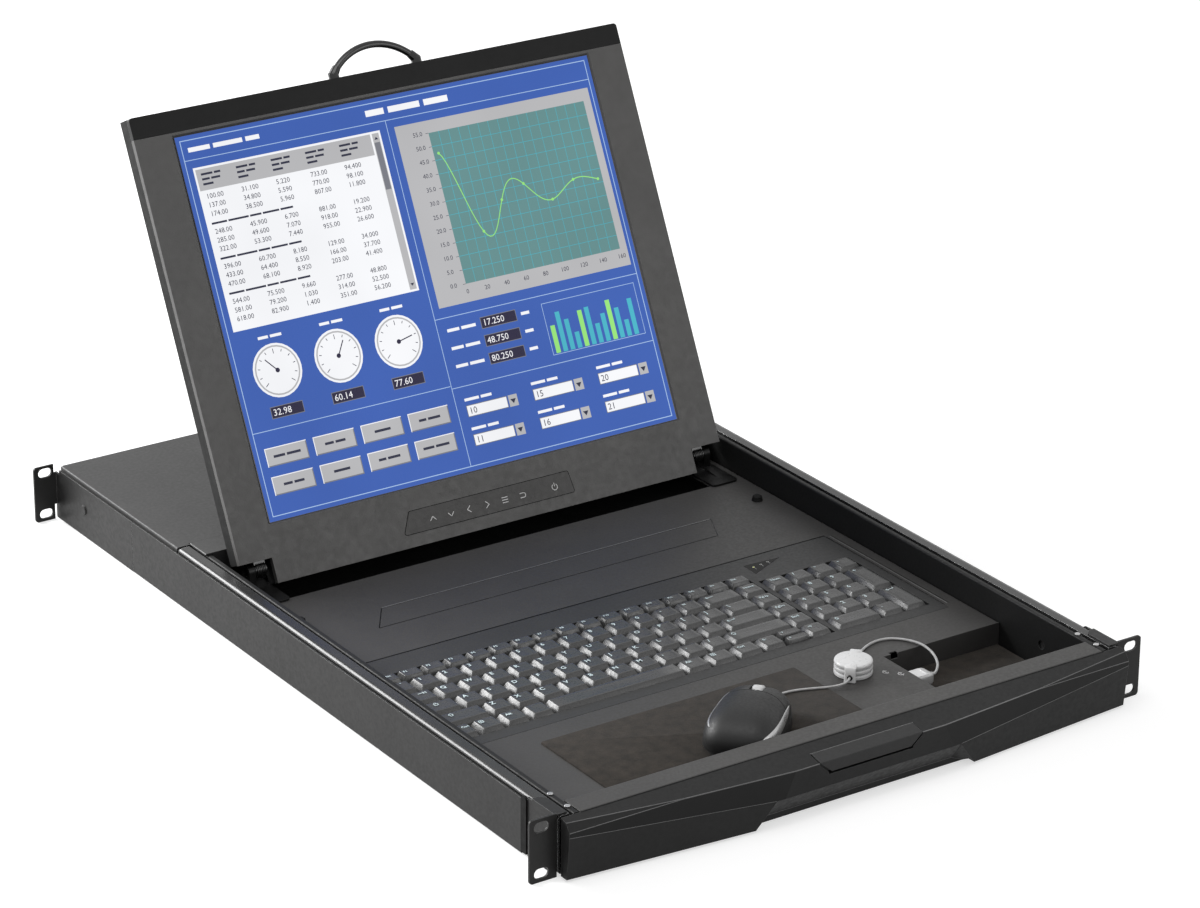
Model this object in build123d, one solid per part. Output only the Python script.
from build123d import *
import os
from math import cos, pi, radians, sin, tan

# Rack interface, from the 19 inch rack standard
panel_half_width = 241.3
hole_inset = 8.75
hole_row = 15.875
slot_length = 10.5
slot_width = 7.0
ear_half_height = 21.8
ear_sheet = 1.5
ear_corner = 2.5

# Overall depths, measured back from the front face of the ears
rear_ear_face = 653.4
slide_rear = 474.0
housing_gap = 2.5
housing_rear = 648.5
side_plate_front = 37.0
side_plate_rear = 538.0

# Sheet and running clearances
sheet = 1.2
run_gap = 0.3
seat_gap = 0.1
bend = 1.6
fold_tight = 0.7

# Slides: fixed, middle and drawer members
slide_outer_face = 221.3
slide_half_height = 20.0
slide_sheet = 1.5
slide_mouth = 212.8
slide_front = -1.0
ball_gap = 0.4

# Side plates, brackets and the black end strips
side_face = 223.5
side_top = 17.4
bracket_tongue = 130.0
dimple_y = 610.0
bracket_side_end = 31.0
bracket_top_end = 26.0
bracket_top_inner = 214.0
strip_face = 223.6
strip_height = 38.7

# Rear housing
inlet_width = 27.0
inlet_height = 19.5
inlet_depth = 14.0
inlet_place = -120.0
video_place = -40.0
video_width = 31.0
video_height = 12.5
rear_corner_cut = (3.0, 16.0)

# Spacing washers behind the side plates
washer_count = 4
washer_start = 23.0
washer_pitch = 90.0
washer_radius = 5.0

# Drawer tray and deck
wall_inner = 206.2
tray_bottom = -18.9
wall_top = 20.0
flange_out = 210.5
flange_lip = 3.0
deck_top = -0.65
deck_sheet = 1.0
deck_rear = 400.0
hinge_tab_gap = 1.0
hinge_tab_rear = 441.0
panel_rear = 353.0
panel_front = 326.0
panel_rear_half = 137.5
panel_front_half = 140.0
panel_shift = 5.5
panel_front_shift = -10.0
panel_groove = 0.8
strip_front = -3.2
strip_rear = 16.0
sub_cover_depth = 22.2
sub_cover_reach = 1.7
sub_cover_half = 211.3

# Mouse pad, mouse bay and its socket
pad_left = -153.5
pad_right = 47.2
pad_front = 22.0
pad_rear = 122.5
pad_thickness = 1.0
bay_left = 107.8
bay_front = 20.0
bay_rear = 104.0
bay_pad_thickness = 1.5

# Keyboard
kb_left = -204.4
kb_right = 192.5
kb_front = 142.0
kb_rear = 284.5
kb_bottom = -9.0
main_left = -198.5
row_front = 153.2
row_pitch = 18.8
key_pitch = 19.2
key_gap = 0.8
key_top = 1.5
key_base = -3.6
key_taper = 1.5
key_travel = 2.5
function_depth = 13.6
function_first = 20.4
digit_first = 21.9
upper_first = 27.3
home_first = 32.6
lower_first = 42.0
modifier_widths = (21.4, 19.8, 19.2, 18.6)
side_key = 18.8
rest_columns = 302.6
key_moat = 0.6
pad_keys_left = 108.5
pad_pitch = 19.0
window_points = ((114.6, 274.3), (114.3, 258.4), (145.0, 272.5))

# Screen unit, drawn flat and leaned back
lean = 26.11
screen_foot = 419.3
screen_foot_z = 10.0
screen_half = 200.7
screen_low = -6.0
screen_notch = 12.0
notch_width = 25.2
screen_top = 326.5
top_strip_low = 311.0
side_border = 30.0
opening_low = 35.3
opening_high = 308.0
front_thickness = 4.0
seam = 0.7
screen_thickness = 16.5
shell_wall = 1.5
module_margin = 8.0
hinge_height = 6.5
hinge_depth = 8.5
hinge_inner = 179.0
hinge_width = 14.0
pin_radius = 3.0
pin_clearance = 0.05
barrel_radius = 4.6
foot_gap = 0.8
overlay_half = 71.5
overlay_low = 3.2
overlay_height = 16.0
overlay_lean = 8.0
overlay_corner = 1.6
overlay_thickness = 0.3
handle_half = 34.0
handle_rise = 21.5
handle_rod = 2.6
handle_depth = 6.5

# Faceted front bezel and its latch
bezel_half = 220.5
bezel_ridge_half = 89.0
bezel_nose = -24.5
bezel_ridge_z = 15.5
scoop_half = 73.0
scoop_top = -2.0
scoop_back = -14.2
scoop_low = -15.8
latch_half = 40.0
latch_back = -14.7
latch_low_half = 31.0
latch_low = 7.8
latch_front_depth = 2.0
latch_gap = 0.7
latch_throw = 1.6
latch_pin_radius = 1.2

# Mouse, cord reel and plug
mouse_place = (-37.0, 55.4)
mouse_turn = 40.0
mouse_length = 82.0
mouse_width = 50.0
mouse_height = 28.0
mouse_base_height = 5.0
mouse_base_inset = 0.6
mouse_corner = 9.0
mouse_round = 3.5
seam_radius = 60.0
button_gap = 0.5
click_room = 1.6
wheel_drop = 2.0
wheel_radius = 7.5
wheel_width = 8.0
reel_place = (76.0, 95.6)
reel_radius = 13.0
reel_height = 11.0
lug_reach = 17.0
plug_y = 74.0
plug_z = -6.0
plug_length = 15.0
twin_radius = 0.8
lead_radius = 0.9

floor_top = tray_bottom + sheet
housing_front = slide_rear + housing_gap
sub_cover_rear = slide_rear + sub_cover_reach
sub_cover_front = sub_cover_rear - sub_cover_depth
notch_half = screen_half - notch_width
opening_half = screen_half - side_border
key_floor = key_base - key_travel - run_gap
hinge_tab_inner = notch_half + hinge_tab_gap
deck_low = deck_top - deck_sheet
pad_top = deck_top + pad_thickness
bay_floor = floor_top + bay_pad_thickness
tongue_face = slide_outer_face + (side_face - slide_outer_face - sheet)
nodes = {}


def slab(x_span, y_span, z_span):
    size = [b - a for a, b in (x_span, y_span, z_span)]
    centre = [(a + b) / 2 for a, b in (x_span, y_span, z_span)]
    return Pos(*centre) * Box(*size)


def along_y(section, y_from, y_to):
    return extrude(Plane.XZ.offset(-y_from) * section, amount=y_to - y_from, dir=(0, 1, 0))


def along_x(section, x_from, x_to):
    return extrude(Plane.YZ.offset(x_from) * section, amount=x_to - x_from, dir=(1, 0, 0))


def along_z(section, z_from, z_to):
    return extrude(Plane.XY.offset(z_from) * section, amount=z_to - z_from, dir=(0, 0, 1))


def folded(points, thickness, radius=bend):
    """Section of bent sheet whose middle line follows the points."""
    return trace(FilletPolyline(*points, radius=radius), line_width=thickness)


def other_side(shape):
    return mirror(shape, about=Plane.YZ)


def trimmed(body, corners, reach=900.0):
    """Cut away what lies outside the plane through three points, which turn
    anticlockwise as seen from outside."""
    first, second, third = (Vector(*corner) for corner in corners)
    normal = (second - first).cross(third - first).normalized()
    side = Plane(origin=first, z_dir=normal)
    return body - side.location * Pos(0, 0, reach / 2) * Box(reach, reach, reach)


# Ears and brackets
def ear_plate(inner, y_front, z_low, z_high):
    plate = Rectangle(panel_half_width - inner, z_high - z_low)
    plate = fillet(plate.vertices().group_by(Axis.X)[-1], ear_corner)
    plate = Pos((panel_half_width + inner) / 2, (z_high + z_low) / 2) * plate
    for z_slot in (-hole_row, hole_row):
        plate -= Pos(panel_half_width - hole_inset, z_slot) * SlotOverall(slot_length, slot_width)
    return along_y(plate, y_front, y_front + ear_sheet)


def front_bracket():
    face = slide_outer_face + sheet
    leaf_span = (-slide_half_height - 0.8, slide_half_height)
    leaf = slab((slide_outer_face, face), (0, bracket_side_end), leaf_span)
    top_span = (slide_half_height, slide_half_height + sheet)
    top = slab((bracket_top_inner, face), (0, bracket_top_end), top_span)
    top = chamfer(top.edges().filter_by(Axis.Z).group_by(Axis.X)[0].sort_by(Axis.Y)[-1], 4.0)
    body = leaf + top + ear_plate(slide_outer_face, 0, -ear_half_height, ear_half_height)
    return body


def rear_bracket():
    z_low = -slide_half_height - 0.9
    outer = slab((tongue_face, side_face), (side_plate_rear + run_gap, rear_ear_face), (z_low, side_top))
    outer -= slab((tongue_face - 1, side_face + 1), (rear_ear_face - 6, rear_ear_face + 1),
                  (side_top - 3, side_top + 1))
    tongue = slab((slide_outer_face, tongue_face),
                  (side_plate_rear - bracket_tongue, side_plate_rear + 30), (-14, 12))
    tongue = chamfer(tongue.edges().filter_by(Axis.X).group_by(Axis.Y)[0], 5.0)
    ear = ear_plate(tongue_face, rear_ear_face - ear_sheet, -21.5, 21.1)
    for inner, z_notch in ((tongue_face - 1, (14.5, 22)), (side_face - 0.5, (-22, -10))):
        ear -= slab((inner, side_face + 2.0), (rear_ear_face - 3, rear_ear_face + 1), z_notch)
    dimple = Cylinder(3.6, 1.0, align=(Align.CENTER, Align.CENTER, Align.MIN))
    dimple = fillet(dimple.edges().group_by(Axis.Z)[-1], 0.6)
    return outer + tongue + ear + Pos(side_face, dimple_y, 0) * Rot(0, 90, 0) * dimple


def side_plate():
    low = -slide_half_height - sheet
    wall = slab((tongue_face, side_face), (side_plate_front, side_plate_rear), (low, side_top))
    shelf = slab((slide_mouth + 4, side_face), (side_plate_front, slide_rear), (low, low + sheet))
    body = wall + shelf
    return fillet(body.edges().filter_by(Axis.Y).group_by(Axis.Z)[0].sort_by(Axis.X)[-1], 0.9)


def end_strip():
    outline = Rectangle(strip_face - slide_outer_face, side_plate_front - bracket_side_end)
    middle = ((strip_face + slide_outer_face) / 2, (side_plate_front + bracket_side_end) / 2)
    bar = along_z(Pos(*middle) * outline, -strip_height + 19.0, 19.0)
    top = bar.edges().filter_by(Axis.X).group_by(Axis.Z)[-1]
    return fillet(top, 2.2)


# Telescopic slides
def channel(web, mouth, half_height, thickness, round_to):
    """C section, open towards the drawer, as a point list round its middle line."""
    half = thickness / 2
    middle = half_height - half
    points = [(mouth, middle), (web - half, middle), (web - half, -middle), (mouth, -middle)]
    return folded(points, thickness, round_to)


mid_face = slide_outer_face - slide_sheet - ball_gap
mid_half_height = slide_half_height - slide_sheet - ball_gap
inner_face = mid_face - sheet - ball_gap
inner_half_height = mid_half_height - sheet - ball_gap
wall_outer = wall_inner + sheet


def slide_outer():
    section = channel(slide_outer_face, slide_mouth, slide_half_height, slide_sheet, 2.2)
    return along_y(section, slide_front, slide_rear)


def slide_mid():
    section = channel(mid_face, slide_mouth + 0.8, mid_half_height, sheet, 1.2)
    body = along_y(section, slide_front + 3, slide_rear - 2)
    window = slab((mid_face - 3, mid_face + 1), (60, 100), (-5, 5))
    for step in range(4):
        body -= Pos(0, step * 100, 0) * window
    return body


def slide_inner():
    half = sheet / 2
    high = inner_half_height - half
    points = [(inner_face, high), (wall_outer + half, high), (wall_outer + half, -high), (inner_face, -high)]
    return along_y(folded(points, sheet, 1.8), slide_front + 4, slide_rear - 3)


# Rear housing
def rear_cover():
    half = sheet / 2
    side = slide_outer_face - half
    top = slide_half_height - half
    points = [(-side, -slide_half_height), (-side, top), (side, top), (side, -slide_half_height)]
    body = along_y(folded(points, sheet, fold_tight), housing_front, housing_rear)
    cut_in, cut_back = rear_corner_cut
    for turn in (-1, 1):
        wedge = Polygon((0, 0), (turn * 2, 0), (turn * 2, -cut_back), align=None)
        wedge = Pos(turn * (slide_outer_face - 1.0), housing_rear) * wedge
        body -= along_z(wedge, slide_half_height - sheet / 3, slide_half_height + 1)
    return body


def rear_base():
    half = sheet / 2
    low = -slide_half_height + half
    top = slide_half_height - sheet - run_gap
    points = [(housing_front + half, top), (housing_front + half, low),
              (housing_rear - half, low), (housing_rear - half, top)]
    width = slide_outer_face - sheet - seat_gap
    body = along_x(folded(points, sheet), -width, width)
    reach = (housing_rear - 3, housing_rear + 1)
    body -= slab(span(inlet_place, inlet_width), reach, span(0, inlet_height))
    body -= slab(span(video_place, video_width - 10), reach, span(0, video_height - 3))
    for place in vent_places():
        slot = Pos(place, 0) * SlotOverall(22, 2.4, rotation=90)
        body -= along_y(slot, housing_rear - 3, housing_rear + 1)
    return body


def span(centre, size):
    return (centre - size / 2, centre + size / 2)


def vent_places():
    return [60 + 6 * step for step in range(16)]


def rear_sockets():
    face = housing_rear
    inlet = slab(span(inlet_place, inlet_width - 0.2), (face - 22, face + 0.2), span(0, inlet_height - 0.2))
    rim = slab(span(inlet_place, inlet_width + 4), (face, face + 1.6), span(0, inlet_height + 4))
    rim = chamfer(rim.edges().group_by(Axis.Y)[-1], 0.8)
    hollow = slab(span(inlet_place, 22.5), (face - inlet_depth, face + 3), span(0, 14.5))
    hollow = chamfer(hollow.edges().filter_by(Axis.Y).group_by(Axis.Z)[-1], 3.0)
    inlet = inlet + rim - hollow
    blade = slab(span(0, 2), (face - inlet_depth - 1, face - 3), span(0, 4))
    for side, height in ((-5.5, -1.5), (5.5, -1.5), (0, 2.5)):
        inlet += Pos(inlet_place + side, 0, height) * blade
    video = slab(span(video_place, video_width - 10.4), (face - 9, face + 0.2), span(0, video_height - 3.4))
    flange = slab(span(video_place, video_width), (face, face + 1), span(0, video_height))
    nose = RectangleRounded(16.6, 8.0, 2.2)
    video = video + flange + along_y(Pos(video_place, 0) * nose, face + 0.5, face + 6)
    for side in (-12.5, 12.5):
        post = RegularPolygon(2.6, 6)
        video += along_y(Pos(video_place + side, 0) * post, face + 0.5, face + 5)
    return [inlet, video]


# Spacers between the slides and the side plates
def chassis_fasteners():
    pieces = []
    thick = tongue_face - slide_outer_face
    for step in range(washer_count):
        y_place = side_plate_front + washer_start + step * washer_pitch
        washer = Rot(0, 90, 0) * Cylinder(washer_radius, thick)
        pieces.append(Pos(slide_outer_face + thick / 2, y_place, 0) * washer)
    return pieces + [other_side(piece) for piece in pieces]


# Drawer
def drawer_tray():
    half = sheet / 2
    side = wall_inner + half
    low = tray_bottom + half
    top = wall_top - half
    lip = flange_out - half
    points = [(lip, wall_top - flange_lip), (lip, top), (side, top), (side, low)]
    points += [(-x, z) for x, z in reversed(points)]
    body = along_y(folded(points, sheet, fold_tight), -2.0, slide_rear + 0.5)
    back_span = (floor_top, wall_top - sheet - 0.3)
    back = slab((-wall_inner, wall_inner), (slide_rear - sheet, slide_rear), back_span)
    body += back
    hole = Pos(wall_inner, 59.5, 0) * Rot(0, 90, 0) * Cylinder(3.2, 8)
    return body - hole


def deck():
    half = deck_sheet / 2
    leg = wall_inner - seat_gap - half
    points = [(-leg, floor_top), (-leg, deck_top - half), (leg, deck_top - half), (leg, floor_top)]
    body = along_y(folded(points, deck_sheet, 1.2), strip_rear + seat_gap, hinge_tab_rear)
    inside = hinge_tab_inner
    body -= slab((-inside, inside), (deck_rear, hinge_tab_rear + 1), (tray_bottom, 1))
    body -= slab((kb_left - run_gap, kb_right + run_gap), (kb_front - run_gap, kb_rear + run_gap),
                 (deck_low - 2, 1))
    body -= slab((bay_left, wall_inner + 1), (bay_front, bay_rear), (floor_top, 1))
    back_skirt = slab((-inside, inside), (deck_rear, deck_rear + deck_sheet), (floor_top, deck_top))
    bay_wall = slab((bay_left - deck_sheet, bay_left), (bay_front, bay_rear + deck_sheet),
                    (floor_top, deck_top))
    bay_wall -= slab((bay_left - 3, bay_left + 1), span(plug_y, 13.4), span(plug_z, 5.6))
    bay_back = slab((bay_left - deck_sheet, leg), (bay_rear, bay_rear + deck_sheet), (floor_top, deck_top))
    bay_skirt = slab((bay_left - deck_sheet, leg), (bay_front - deck_sheet, bay_front), (floor_top, deck_top))
    body += back_skirt + bay_wall + bay_back + bay_skirt
    body -= slab((bay_left + 6, bay_left + 12), (bay_rear - 1, bay_rear + 3), (deck_low - 3, 1))
    return body - raised_panel_groove()


def raised_panel_groove():
    """Shallow groove round the slant-ended panel behind the keyboard."""
    rear_corners = [(panel_shift + turn * panel_rear_half, panel_rear) for turn in (-1, 1)]
    front_corners = [(panel_front_shift + turn * panel_front_half, panel_front) for turn in (-1, 1)]
    outer = Polygon(rear_corners[0], front_corners[0], front_corners[1], rear_corners[1], align=None)
    ring = outer - offset(outer, amount=-panel_groove)
    return along_z(ring, deck_top - 0.35, deck_top + 1)


def front_strip():
    half = sheet / 2
    top = wall_top - half
    points = [(strip_front + half, floor_top), (strip_front + half, top),
              (strip_rear - half, top), (strip_rear - half, floor_top)]
    width = wall_inner - 0.4
    return along_x(folded(points, sheet, 1.2), -width, width)


def sub_cover():
    half = sheet / 2
    top = wall_top + half + seat_gap
    points = [(sub_cover_front + half, floor_top + 24), (sub_cover_front + half, top), (sub_cover_rear, top)]
    width = wall_inner - 0.4
    apron = along_x(folded(points, sheet, 1.0), -width, width)
    lid = slab((-sub_cover_half, sub_cover_half), (sub_cover_front, sub_cover_rear), (top - half, top + half))
    return apron + chamfer(lid.edges().group_by(Axis.Z)[-1].filter_by(Axis.Y), 0.5)


def bumper(x_place, y_place, height):
    knob = Cone(4.0, 3.2, height, align=(Align.CENTER, Align.CENTER, Align.MIN))
    knob = chamfer(knob.edges().group_by(Axis.Z)[-1], 0.8)
    return Pos(x_place, y_place, deck_top) * knob


def bumpers():
    height = closed_face - deck_top - run_gap
    return [bumper(190, 362, height), bumper(-190, 362, height)]


def hinge_feet():
    y_axis, z_axis = hinge_axis
    eye = Circle(barrel_radius)
    under = closed_face - z_axis - foot_gap
    neck = Polygon((-barrel_radius, 0), (-barrel_radius, under), (-22, deck_top - z_axis + 1.6),
                   (-22, deck_top - z_axis), (8, deck_top - z_axis), (barrel_radius, 0), align=None)
    plan = Pos(y_axis, z_axis) * (eye + neck)
    plan -= Pos(y_axis, z_axis) * Circle(pin_radius + pin_clearance)
    ear = along_x(plan, hinge_inner + hinge_width - 5, hinge_inner + hinge_width)
    plate = slab((hinge_tab_inner, hinge_inner + hinge_width + 6), (y_axis - 32, y_axis + 9),
                 (deck_top, deck_top + 1.6))
    plate = fillet(plate.edges().filter_by(Axis.Z), 3.0)
    foot = ear + plate
    return [foot, other_side(foot)]


# Keyboard
def key(x_low, x_high, y_low, y_high):
    gap = key_gap / 2
    width = x_high - x_low - 2 * gap
    depth = y_high - y_low - 2 * gap
    foot = Rectangle(width, depth)
    head = Rectangle(width - 2 * key_taper, depth - 1.6 * key_taper)
    skirt = 1.2
    cap = loft([Pos(0, 0, skirt) * foot, Pos(0, 0, key_top - key_base) * head])
    cap += extrude(foot, amount=skirt)
    return Pos((x_low + x_high) / 2, (y_low + y_high) / 2, key_base) * cap


def row_keys(widths, x_start, y_low, depth):
    keys = []
    for width in widths:
        keys.append(key(x_start, x_start + width, y_low, y_low + depth))
        x_start += width
    return keys


def standard_row(row, first, count):
    """Wide first key, equal keys, a last key that fills up, and the side key."""
    last = rest_columns - first - count * key_pitch - side_key
    widths = [first] + [key_pitch] * count + [last, side_key]
    return row_keys(widths, main_left, row_front + row * row_pitch, row_pitch)


def modifier_row():
    return row_keys(modifier_widths, main_left, row_front, row_pitch)


space_start = main_left + sum(modifier_widths)
space_width = 104.0
right_modifiers = 3
arrow_start = main_left + rest_columns - 3 * side_key


def right_modifier_row():
    start = space_start + space_width
    width = (arrow_start - start) / right_modifiers
    return row_keys([width] * right_modifiers, start, row_front, row_pitch)


def arrow_keys():
    half = row_pitch / 2
    middle = arrow_start + side_key
    keys = row_keys([side_key], arrow_start, row_front, row_pitch)
    keys += row_keys([side_key], middle, row_front, half)
    keys += row_keys([side_key], middle + side_key, row_front, row_pitch)
    return keys + row_keys([side_key], middle, row_front + half, half)


def number_pad():
    keys = []
    for column in range(3):
        x_low = pad_keys_left + column * pad_pitch
        for row in range(1, 5):
            y_low = row_front + row * row_pitch
            keys.append(key(x_low, x_low + pad_pitch, y_low, y_low + row_pitch))
    keys.append(key(pad_keys_left, pad_keys_left + 2 * pad_pitch, row_front, row_front + row_pitch))
    keys.append(key(pad_keys_left + 2 * pad_pitch, pad_keys_left + 3 * pad_pitch,
                    row_front, row_front + row_pitch))
    x_low = pad_keys_left + 3 * pad_pitch
    for row in (0, 2):
        y_low = row_front + row * row_pitch
        keys.append(key(x_low, x_low + pad_pitch, y_low, y_low + 2 * row_pitch))
    y_low = row_front + 4 * row_pitch
    keys.append(key(x_low, x_low + pad_pitch, y_low, y_low + row_pitch))
    return keys


main_rear = row_front + 5 * row_pitch
function_rear = main_rear + function_depth


def keyboard_frame():
    body = slab((kb_left, kb_right), (kb_front, kb_rear), (kb_bottom, deck_top))
    top = body.edges().group_by(Axis.Z)[-1]
    body = chamfer(top, 0.4)
    moat = key_moat - key_gap / 2
    well = slab((main_left - moat, main_left + rest_columns + moat), (row_front - moat, function_rear + moat),
                (key_floor, deck_top + 1))
    pad_right_edge = pad_keys_left + 4 * pad_pitch
    pad_well = slab((pad_keys_left - moat, pad_right_edge + moat), (row_front - moat, main_rear + moat),
                    (key_floor, deck_top + 1))
    window = along_z(Polygon(*window_points, align=None), deck_top - 1.2, deck_top + 1)
    return body - well - pad_well - window


def light_window():
    pane = along_z(offset(Polygon(*window_points, align=None), amount=-0.1), deck_top - 1.2, deck_top)
    return pane


# Mouse pad, bay lining and socket
def mouse_pad():
    pad = RectangleRounded(pad_right - pad_left, pad_rear - pad_front, 2)
    middle = ((pad_left + pad_right) / 2, (pad_front + pad_rear) / 2)
    return along_z(Pos(*middle) * pad, deck_top, pad_top)


def bay_pad():
    return slab((bay_left + 0.5, wall_inner - 1.5), (bay_front + 0.5, bay_rear - 0.5), (floor_top, bay_floor))


def bay_socket():
    wall = bay_left - deck_sheet
    body = slab((wall - 13, wall), span(plug_y, 16), span(plug_z, 8.4))
    body += slab((wall - 13, wall - 3), span(plug_y, 12), (floor_top, plug_z))
    return body - slab((wall - 10.5, wall + 1), span(plug_y, 12.4), span(plug_z, 4.9))


# Front bezel, its scoop and latch
def bezel():
    half_height = slide_half_height
    back = strip_front - seat_gap
    body = slab((-bezel_half, bezel_half), (bezel_nose, back), (-half_height, half_height))
    ridge_low = (-bezel_ridge_half, bezel_nose, bezel_ridge_z)
    ridge_high = (bezel_ridge_half, bezel_nose, bezel_ridge_z)
    body = trimmed(body, (ridge_low, ridge_high, (0, back, wall_top)))
    shoulder = (218.0, -9.3, 18.6)
    cheek = (216.0, -15.0, 10.6)
    side_mid = (218.25, -11.6, -4.7)
    low_corner = (87.5, -21.0, -19.4)
    body = trimmed(body, (ridge_high, cheek, shoulder))
    body = trimmed(body, (low_corner, side_mid, ridge_high))
    flip = [(-x, y, z) for x, y, z in (ridge_high, cheek, shoulder)]
    body = trimmed(body, (flip[0], flip[2], flip[1]))
    flip = [(-x, y, z) for x, y, z in (low_corner, side_mid, ridge_high)]
    body = trimmed(body, (flip[0], flip[2], flip[1]))
    scoop = Polygon((bezel_nose - 3, scoop_top + 0.5), (bezel_nose + 0.5, scoop_top), (scoop_back, scoop_low),
                    (scoop_back, -half_height - 1), (bezel_nose - 3, -half_height - 1), align=None)
    body -= along_x(scoop, -scoop_half, scoop_half)
    body -= latch_pocket()
    return body


pivot_y = latch_back + 1.0
pivot_z = 12.6


def latch_section(grow):
    """Side outline of the latch; grow is the clearance round it in its pocket."""
    slope = (wall_top - bezel_ridge_z) / (strip_front - bezel_nose)
    proud = 0.4 if grow == 0 else 3.0
    back_z = bezel_ridge_z + (latch_back - bezel_nose) * slope
    deep = pivot_z - 3.2
    outline = Polygon((latch_back + grow, back_z + proud), (bezel_nose - proud, bezel_ridge_z + proud),
                      (bezel_nose - proud, latch_low - grow), (bezel_nose + 3.0 + grow, latch_low - grow),
                      (bezel_nose + 5.0 + grow, deep - grow), (latch_back + grow, deep - grow), align=None)
    return outline


def latch_corner(turn, away, depth):
    """Wedge outside one slanted lower corner of the latch, moved away by the clearance."""
    rise = bezel_ridge_z - latch_low
    low = turn * (latch_low_half + away)
    high = turn * (latch_half + away)
    wide = turn * (latch_half + latch_throw + 2)
    wedge = Polygon((low, latch_low), (wide, latch_low), (wide, latch_low + rise), (high, latch_low + rise),
                    align=None)
    down = Polygon((low, latch_low), (low, latch_low - 4), (wide, latch_low - 4), (wide, latch_low),
                   align=None)
    return along_y(wedge + down, bezel_nose - 3, bezel_nose + depth)


def latch_pocket():
    room = along_x(latch_section(latch_throw), -latch_half - latch_gap, latch_half + latch_gap)
    front = slab((-latch_half - 2, latch_half + 2),
                 (latch_back + latch_gap, latch_back + latch_throw + 1), (0, 30))
    for turn in (-1, 1):
        room -= latch_corner(turn, latch_gap + latch_throw, latch_front_depth - latch_gap)
    bore = Pos(0, pivot_y, pivot_z) * Rot(0, 90, 0) * Cylinder(latch_pin_radius, 2 * latch_half + 14)
    return room - front + bore


def latch():
    body = along_x(latch_section(0), -latch_half, latch_half)
    for turn in (-1, 1):
        body -= latch_corner(turn, 0, latch_front_depth)
    front_edges = body.edges().filter_by(Axis.X).group_by(Axis.Y)[0]
    body = chamfer(front_edges, 0.35)
    bore = Rot(0, 90, 0) * Cylinder(latch_pin_radius + pin_clearance, 2 * latch_half + 2)
    return body - Pos(0, pivot_y, pivot_z) * bore


def drawer_fasteners():
    pin = Pos(0, pivot_y, pivot_z) * Rot(0, 90, 0) * Cylinder(latch_pin_radius, 2 * latch_half + 14)
    pieces = [pin]
    for y_place in (7.1, 26.4):
        head = Cylinder(1.9, 0.8, align=(Align.CENTER, Align.CENTER, Align.MIN))
        for turn in (-1, 1):
            pieces.append(Pos(turn * (wall_outer + 1.5), y_place, wall_top) * head)
    return pieces


# Screen unit
lean_cos = cos(radians(lean))
lean_sin = sin(radians(lean))
screen_plane = Plane(origin=(0, screen_foot, screen_foot_z), x_dir=(1, 0, 0), z_dir=(0, -lean_cos, lean_sin))
hinge_axis = (screen_foot + hinge_height * lean_sin + hinge_depth * lean_cos,
              screen_foot_z + hinge_height * lean_cos - hinge_depth * lean_sin)
closed_face = hinge_axis[1] - hinge_depth


def placed(shape):
    """Stand a screen piece up from its flat drawing."""
    return screen_plane.location * shape


def screen_outline(inset=0.0):
    """Plate outline with its two lower corners cut back for the hinges."""
    half = screen_half - inset
    notch = notch_half - inset
    outline = Polygon((-half, screen_notch + inset), (-notch, screen_notch + inset),
                      (-notch, screen_low + inset), (notch, screen_low + inset),
                      (notch, screen_notch + inset), (half, screen_notch + inset),
                      (half, screen_top - inset), (-half, screen_top - inset), align=None)
    return outline


def opening_outline(grow=0.0):
    height = opening_high - opening_low + 2 * grow
    return Pos(0, (opening_high + opening_low) / 2) * Rectangle(2 * (opening_half + grow), height)


def lcd_front():
    outline = screen_outline()
    outline -= Pos(0, (top_strip_low + screen_top) / 2) * Rectangle(500, screen_top - top_strip_low)
    plate = along_z(outline - opening_outline(), -front_thickness, 0)
    rim = plate.edges().group_by(Axis.Z)[-1].filter_by_position(Axis.Y, opening_low - 1, opening_high + 1)
    rim = rim.filter_by_position(Axis.X, -opening_half - 1, opening_half + 1)
    return placed(chamfer(rim, 1.2))


def lcd_top_strip():
    strip = Rectangle(2 * screen_half, screen_top - top_strip_low - 0.2)
    strip = Pos(0, (top_strip_low + screen_top) / 2) * strip
    body = extrude(strip, amount=-front_thickness)
    return placed(fillet(body.edges().filter_by(Axis.Z).group_by(Axis.Y)[-1], 2.5))


def lcd_glass():
    glass = Pos(0, (opening_high + opening_low) / 2)
    glass *= Rectangle(2 * opening_half - 0.2, opening_high - opening_low - 0.2)
    return placed(Pos(0, 0, -0.8) * extrude(glass, amount=-(front_thickness + seam - 0.8)))


def lcd_module():
    depth = screen_thickness - front_thickness - seam - shell_wall
    case = Rectangle(2 * (opening_half + module_margin), opening_high - opening_low + 2 * 5.0)
    case = Pos(0, (opening_high + opening_low) / 2) * case
    body = extrude(case, amount=-depth)
    return placed(Pos(0, 0, -front_thickness - seam) * body)


def lcd_shell():
    depth = screen_thickness - front_thickness - seam
    outline = screen_outline(0.4)
    body = along_z(outline, -depth, 0)
    back_edges = body.edges().group_by(Axis.Z)[0]
    body = fillet(back_edges, 2.2)
    hollow = along_z(screen_outline(0.4 + shell_wall), shell_wall - depth, 0)
    body = body - hollow
    return placed(Pos(0, 0, -front_thickness - seam) * body)


def lcd_seam():
    ring = screen_outline(1.2) - Pos(0, (opening_high + opening_low) / 2) * Rectangle(
        2 * (opening_half + 0.4), opening_high - opening_low + 0.8)
    return placed(along_z(ring, -front_thickness - seam, -front_thickness))


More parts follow.
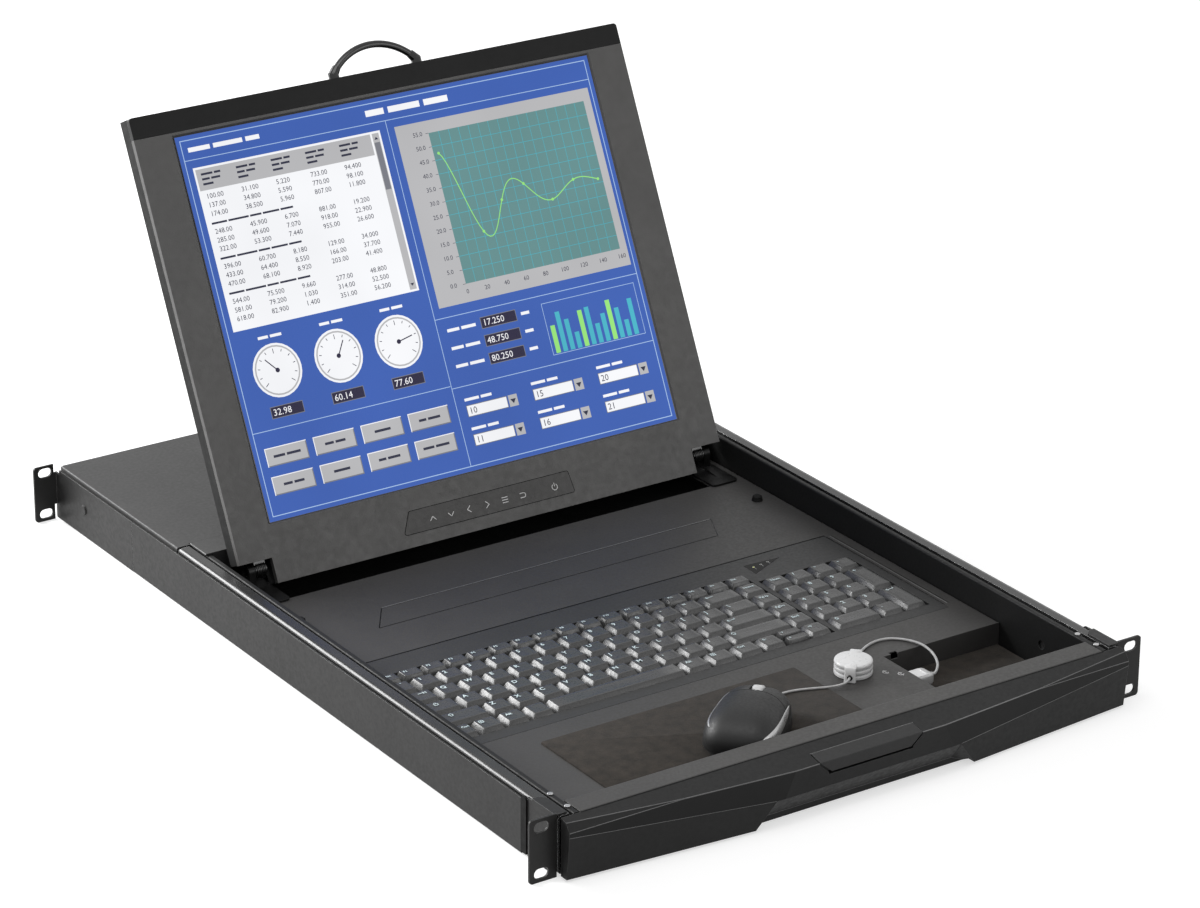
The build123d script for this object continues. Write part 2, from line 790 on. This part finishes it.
def osd_overlay():
    low, high = overlay_low, overlay_low + overlay_height
    right = overlay_half - overlay_lean / 4
    outline = Polygon((-overlay_half, low), (overlay_half, low), (right, high),
                      (-overlay_half + overlay_lean, high), align=None)
    return placed(along_z(fillet(outline.vertices(), overlay_corner), 0, overlay_thickness))


def lcd_handle():
    foot = screen_top
    path = Plane.XY.offset(-handle_depth) * ThreePointArc(
        (-handle_half, foot + 3), (0, foot + handle_rise - handle_rod), (handle_half, foot + 3))
    start = Plane(origin=path @ 0, z_dir=path % 0)
    rod = sweep(start * Circle(handle_rod), path=path)
    body = rod
    for turn in (-1, 1):
        end = path @ 0 if turn < 0 else path @ 1
        away = path % 0 if turn < 0 else (path % 1) * -1
        collar = Cone(handle_rod + 1.2, handle_rod + 0.5, 7.0, align=(Align.CENTER, Align.CENTER, Align.MIN))
        seat = Plane(origin=end - away * 1.0, z_dir=away)
        body += seat.location * collar
        post = Pos(turn * handle_half, foot, -handle_depth) * Rot(-90, 0, 0) * Cylinder(
            handle_rod + 1.2, 4.0, align=(Align.CENTER, Align.CENTER, Align.MIN))
        body += post
    return placed(body)


def hinge_arms():
    """Leaf on the shell, barrel round the axis and pin through the foot's eye."""
    inner = hinge_inner
    outer = hinge_inner + hinge_width - 5 - run_gap
    barrel = Pos(0, hinge_height, -hinge_depth) * Rot(0, 90, 0) * Cylinder(
        barrel_radius, outer - inner, align=(Align.CENTER, Align.CENTER, Align.MIN))
    pin = Pos(0, hinge_height, -hinge_depth) * Rot(0, 90, 0) * Cylinder(
        pin_radius, hinge_width, align=(Align.CENTER, Align.CENTER, Align.MIN))
    leaf = slab((0, outer - inner), (hinge_height, screen_notch + 0.4),
                (-hinge_depth - barrel_radius + 1.2, -hinge_depth + barrel_radius - 1.2))
    body = Pos(inner, 0, 0) * (barrel + pin + leaf)
    return [placed(body), placed(other_side(body))]


# Mouse
def mouse_outline(inset=0.0):
    """Plan of the mouse: four shallow arcs joined by round corners."""
    half, wide = mouse_length / 2 - inset, mouse_width / 2 - inset
    turn_x = half * 0.62
    rear_y, front_y = wide * 0.93, wide * 0.9
    left = ThreePointArc((-turn_x, rear_y), (0, wide), (turn_x, front_y))
    nose = ThreePointArc((turn_x, front_y), (half, 0), (turn_x, -front_y))
    right = ThreePointArc((turn_x, -front_y), (0, -wide), (-turn_x, -rear_y))
    tail = ThreePointArc((-turn_x, -rear_y), (-half, 0), (-turn_x, rear_y))
    plan = make_face(left + nose + right + tail)
    return fillet(plan.vertices(), mouse_corner)


def mouse_at(shape):
    return Pos(*mouse_place, pad_top) * Rot(0, 0, mouse_turn) * shape


def arched(half, low, peak_place):
    """Face between the base and an arc from one end to the other."""
    base = mouse_base_height
    first, last = low
    edges = Polyline((-half, base), (half, base), (half, last))
    edges += ThreePointArc((half, last), (peak_place, mouse_height), (-half, first))
    return make_face(edges + Line((-half, first), (-half, base)))


def mouse_dome():
    """Upper shell: its plan under a long arch and a cross arch."""
    half, wide = mouse_length / 2, mouse_width / 2
    side = arched(half, (mouse_height * 0.40, mouse_height * 0.44), -half * 0.12)
    crown = arched(wide, (mouse_height * 0.62, mouse_height * 0.62), 0)
    lengthwise = extrude(Plane.XZ * side, amount=mouse_width, both=True)
    crosswise = extrude(Plane.YZ * crown, amount=mouse_length, both=True)
    body = lengthwise & crosswise & extrude(mouse_outline(), amount=mouse_height + 2)
    rim = [edge for edge in body.edges()
           if edge.center().Z > mouse_base_height + 3 and abs(edge.tangent_at(0.5).Z) < 0.9]
    return fillet(rim, mouse_round)


def mouse_base():
    body = extrude(mouse_outline(mouse_base_inset), amount=mouse_base_height)
    body = chamfer(body.edges().group_by(Axis.Z)[0], 1.0)
    return mouse_at(body)


seam_x = mouse_length * 0.14
bridge_height = mouse_height * 0.34
wheel_x = seam_x + 2 + wheel_radius


def wheel_room():
    half = wheel_radius + run_gap
    wide = wheel_width + 2 * run_gap
    return slab((wheel_x - half, wheel_x + half), (-wide / 2, wide / 2), (0, 2 * mouse_height))


def seam_drum(gap):
    """Drum behind the buttons, whose front is the curved seam."""
    return Pos(seam_x - seam_radius, 0, mouse_height / 2) * Cylinder(seam_radius + gap, 2 * mouse_height)


def mouse_shell():
    bridge = slab((0, mouse_length), (-mouse_width, mouse_width), (0, bridge_height))
    return mouse_at(mouse_dome() & (seam_drum(0) + bridge) - wheel_room())


def mouse_button(turn):
    wide = sorted((button_gap / 2 * turn, mouse_width * turn))
    front = slab((0, mouse_length), wide, (bridge_height + click_room, 2 * mouse_height))
    return mouse_at((mouse_dome() & front) - seam_drum(button_gap) - wheel_room())


def mouse_wheel():
    disc = Rot(90, 0, 0) * Cylinder(wheel_radius, wheel_width)
    disc = chamfer(disc.edges(), 1.0)
    return mouse_at(Pos(wheel_x, 0, mouse_height - wheel_drop - wheel_radius) * disc)


# Reel, plug and cords
def reel():
    discs = None
    layers = 3
    pitch = reel_height / layers
    for layer in range(layers):
        disc = Cylinder(reel_radius, pitch * 0.8, align=(Align.CENTER, Align.CENTER, Align.MIN))
        disc = chamfer(disc.edges(), pitch * 0.25)
        disc = Pos(0, 0, layer * pitch + pitch * 0.1) * disc
        discs = disc if discs is None else discs + disc
    body = discs + Cylinder(reel_radius - 1.2, reel_height * 0.94,
                            align=(Align.CENTER, Align.CENTER, Align.MIN))
    for turn in (-1, 1):
        lug = slab(span(turn * (lug_reach - 3), 6.4), (-3.0, 3.0), (0, reel_height * 0.95))
        body += chamfer(lug.edges().filter_by(Axis.Z), 1.2)
    return Pos(*reel_place, deck_top) * Rot(0, 0, 45) * body


def usb_plug():
    body = slab((bay_left + 0.2, bay_left + plug_length), span(plug_y, 14), span(plug_z, 7.5))
    body = fillet(body.edges().group_by(Axis.X)[-1], 1.5)
    nose = slab((bay_left - 8.5, bay_left + 1), span(plug_y, 12.0), span(plug_z, 4.5))
    boot = Pos(bay_left + plug_length, plug_y, plug_z) * Rot(0, 90, 0) * Cone(
        2.6, lead_radius + 0.5, 5.0, align=(Align.CENTER, Align.CENTER, Align.MIN))
    return body + nose + boot


def corner_radii(route):
    radii = []
    for before, corner, after in zip(route, route[1:], route[2:]):
        first = Vector(*corner) - Vector(*before)
        second = Vector(*after) - Vector(*corner)
        turn = radians(first.get_angle(second))
        radii.append(0.45 * min(first.length, second.length) / tan(turn / 2))
    return radii


def tube(route, radius, name):
    radii = corner_radii(route)
    print(name, "radii", [round(r, 1) for r in radii])
    path = FilletPolyline(*route, radius=radii)
    start = Plane(origin=path @ 0, z_dir=path % 0)
    cord = sweep(start * Circle(radius), path=path)
    ratio = cord.volume / (pi * radius**2 * path.length)
    print(name, "length", round(path.length, 1), "volume ratio", round(ratio, 4))
    return cord


on_pad = pad_top + twin_radius
on_deck = deck_top + lead_radius
twin_route = [(-5.3, 82.0, 6.0), (-0.3, 86.8, 4.4), (5.5, 90.8, 2.6), (13.5, 93.2, on_pad),
              (22.5, 93.0, on_pad), (31.0, 90.6, on_pad), (39.5, 87.2, on_pad), (47.6, 83.6, on_pad),
              (54.6, 80.8, 1.9), (60.2, 80.6, 2.8), (64.2, 83.8, 3.2)]
lead_route = [(88.2, 107.8, 2.4), (93.6, 113.0, 1.3), (100.4, 118.4, on_deck), (108.4, 122.6, on_deck),
              (117.2, 125.0, on_deck), (125.8, 123.8, on_deck), (132.8, 118.4, on_deck), (137.2, 110.6, 0.6),
              (139.6, 101.8, 0.5), (139.8, 92.8, -1.0), (137.6, 84.4, -3.0), (133.2, 77.6, -5.2),
              (127.8, 74.0, -6.0)]


def sides(name, shape):
    nodes[name + "_right"] = shape
    nodes[name + "_left"] = other_side(shape)


def build():
    sides("slide_outer", slide_outer())
    sides("side_plate", side_plate())
    sides("front_bracket", front_bracket())
    sides("rear_bracket", rear_bracket())
    sides("slide_mid", slide_mid())
    sides("slide_inner", slide_inner())
    strip = end_strip()
    nodes["end_strips"] = [strip, other_side(strip)]
    nodes["rear_cover"] = rear_cover()
    nodes["rear_base"] = rear_base()
    nodes["rear_sockets"] = rear_sockets()
    nodes["chassis_fasteners"] = chassis_fasteners()
    nodes["drawer_tray"] = drawer_tray()
    nodes["deck"] = deck()
    nodes["front_strip"] = front_strip()
    nodes["sub_cover"] = sub_cover()
    nodes["bumpers"] = bumpers()
    nodes["hinge_feet"] = hinge_feet()
    nodes["keyboard_frame"] = keyboard_frame()
    nodes["light_window"] = light_window()
    nodes["mouse_pad"] = mouse_pad()
    nodes["bay_pad"] = bay_pad()
    nodes["bay_socket"] = bay_socket()
    nodes["bezel"] = bezel()
    nodes["latch"] = latch()
    nodes["drawer_fasteners"] = drawer_fasteners()
    function_widths = [function_first] + [(rest_columns - function_first) / 16] * 16
    nodes["keys_function"] = row_keys(function_widths, main_left, main_rear, function_depth)
    nodes["keys_digit"] = standard_row(4, digit_first, 12)
    nodes["keys_upper"] = standard_row(3, upper_first, 12)
    nodes["keys_home"] = standard_row(2, home_first, 11)
    nodes["keys_lower"] = standard_row(1, lower_first, 10)
    nodes["keys_modifier"] = modifier_row() + right_modifier_row()
    nodes["key_space"] = row_keys([space_width], space_start, row_front, row_pitch)
    nodes["keys_arrow"] = arrow_keys()
    nodes["keys_pad"] = number_pad()
    nodes["lcd_front"] = lcd_front()
    nodes["lcd_top_strip"] = lcd_top_strip()
    nodes["lcd_glass"] = lcd_glass()
    nodes["lcd_module"] = lcd_module()
    nodes["lcd_shell"] = lcd_shell()
    nodes["lcd_seam"] = lcd_seam()
    nodes["osd_overlay"] = osd_overlay()
    nodes["lcd_handle"] = lcd_handle()
    nodes["hinge_arms"] = hinge_arms()
    nodes["mouse_base"] = mouse_base()
    nodes["mouse_shell"] = mouse_shell()
    nodes["mouse_button_left"] = mouse_button(1)
    nodes["mouse_button_right"] = mouse_button(-1)
    nodes["mouse_wheel"] = mouse_wheel()
    nodes["reel"] = reel()
    nodes["usb_plug"] = usb_plug()
    nodes["cord_mouse"] = tube(twin_route, twin_radius, "cord_mouse")
    nodes["cord_plug"] = tube(lead_route, lead_radius, "cord_plug")


build()
os.makedirs("parts", exist_ok=True)
for name, shape in nodes.items():
    pieces = shape if isinstance(shape, list) else [shape]
    solids = [solid for piece in pieces for solid in piece.solids()]
    export_step(Compound(children=solids) if len(solids) > 1 else solids[0], f"parts/{name}.step")
print(len(nodes), "nodes")
